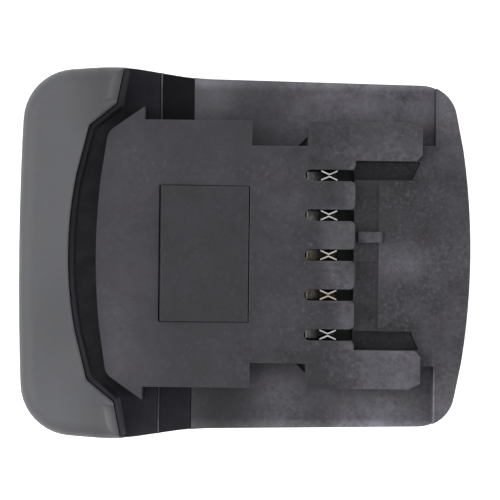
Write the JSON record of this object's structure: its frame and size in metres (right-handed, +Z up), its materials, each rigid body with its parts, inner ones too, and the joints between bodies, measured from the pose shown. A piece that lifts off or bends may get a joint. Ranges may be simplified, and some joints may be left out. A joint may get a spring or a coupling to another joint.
{
  "type": "tool battery adapter",
  "caption": "Slide-in power tool battery adapter: railed contact plate with hinged latch and push button on top, lipped battery channel with blade terminals below.",
  "frame": {"origin": "middle of the footprint, on the underside of the battery lips", "axes": "+X the way the adapter slides into the tool, from the grip towards the nose; +Z up through the rail plate; +Y across the rails"},
  "size_m": [0.091, 0.0756, 0.043],
  "materials": {
    "housing_plastic": "fine-grained moulded plastic, slightly mottled",
    "grip_plastic": "smooth satin moulded plastic",
    "latch_plastic": "satin moulded plastic",
    "damper_rubber": "soft matte black rubber",
    "spring_steel": "drawn wire",
    "pin_steel": "blackened rod",
    "screw_steel": "zinc plated",
    "tinned_contact": "tin plated sheet",
    "brass_contact": "plain rolled sheet",
    "board": "lacquered board",
    "chip": "moulded chip",
    "wire_red": "insulated wire",
    "wire_black": "insulated wire",
    "wire_white": "insulated wire",
    "wire_yellow": "insulated wire"
  },
  "bodies": {
    "housing": {"upper_shell": "housing_plastic", "lower_shell": "housing_plastic", "front_cover": "grip_plastic", "damper_strip": "damper_rubber", "groove_liner": "damper_rubber", "side_pads": "damper_rubber", "latch_pin": "pin_steel", "latch_spring": "spring_steel", "button_spring": "spring_steel", "contact_clip_1": "tinned_contact", "contact_clip_2": "tinned_contact", "contact_clip_3": "brass_contact", "contact_clip_4": "brass_contact", "contact_clip_5": "tinned_contact", "circuit_board": "board", "id_resistor": "chip", "terminal_block": "latch_plastic", "blade_positive": "brass_contact", "blade_negative": "brass_contact", "blade_signal_1": "brass_contact", "blade_signal_2": "brass_contact", "wire_positive": "wire_red", "wire_negative": "wire_black", "wire_signal_1": "wire_white", "wire_signal_2": "wire_yellow", "housing_screws": "screw_steel", "cover_screws": "screw_steel", "board_screws": "screw_steel"},
    "button": {"release_button": "latch_plastic"},
    "latch": {"latch": "latch_plastic"}
  },
  "joints": [
    {"name": "release_push", "type": "slide", "parent": "housing", "child": "button", "axis": [1, 0, 0], "range_m": [0, 0.0025], "stiffness_N_per_m": 1200, "springref_m": -0.002, "deforming": ["button_spring"]},
    {"name": "latch_swing", "type": "hinge", "parent": "housing", "child": "latch", "pos_m": [-0.0017, 0, 0.0354], "axis": [0, -1, 0], "range_deg": [0, 12.9], "stiffness_Nm_per_rad": 0.08, "springref_deg": -11.46, "deforming": ["latch_spring"]}
  ],
  "couplings": [
    {"joint": "latch_swing", "follows": "release_push", "rad_per_m": 89.4}
  ]
}
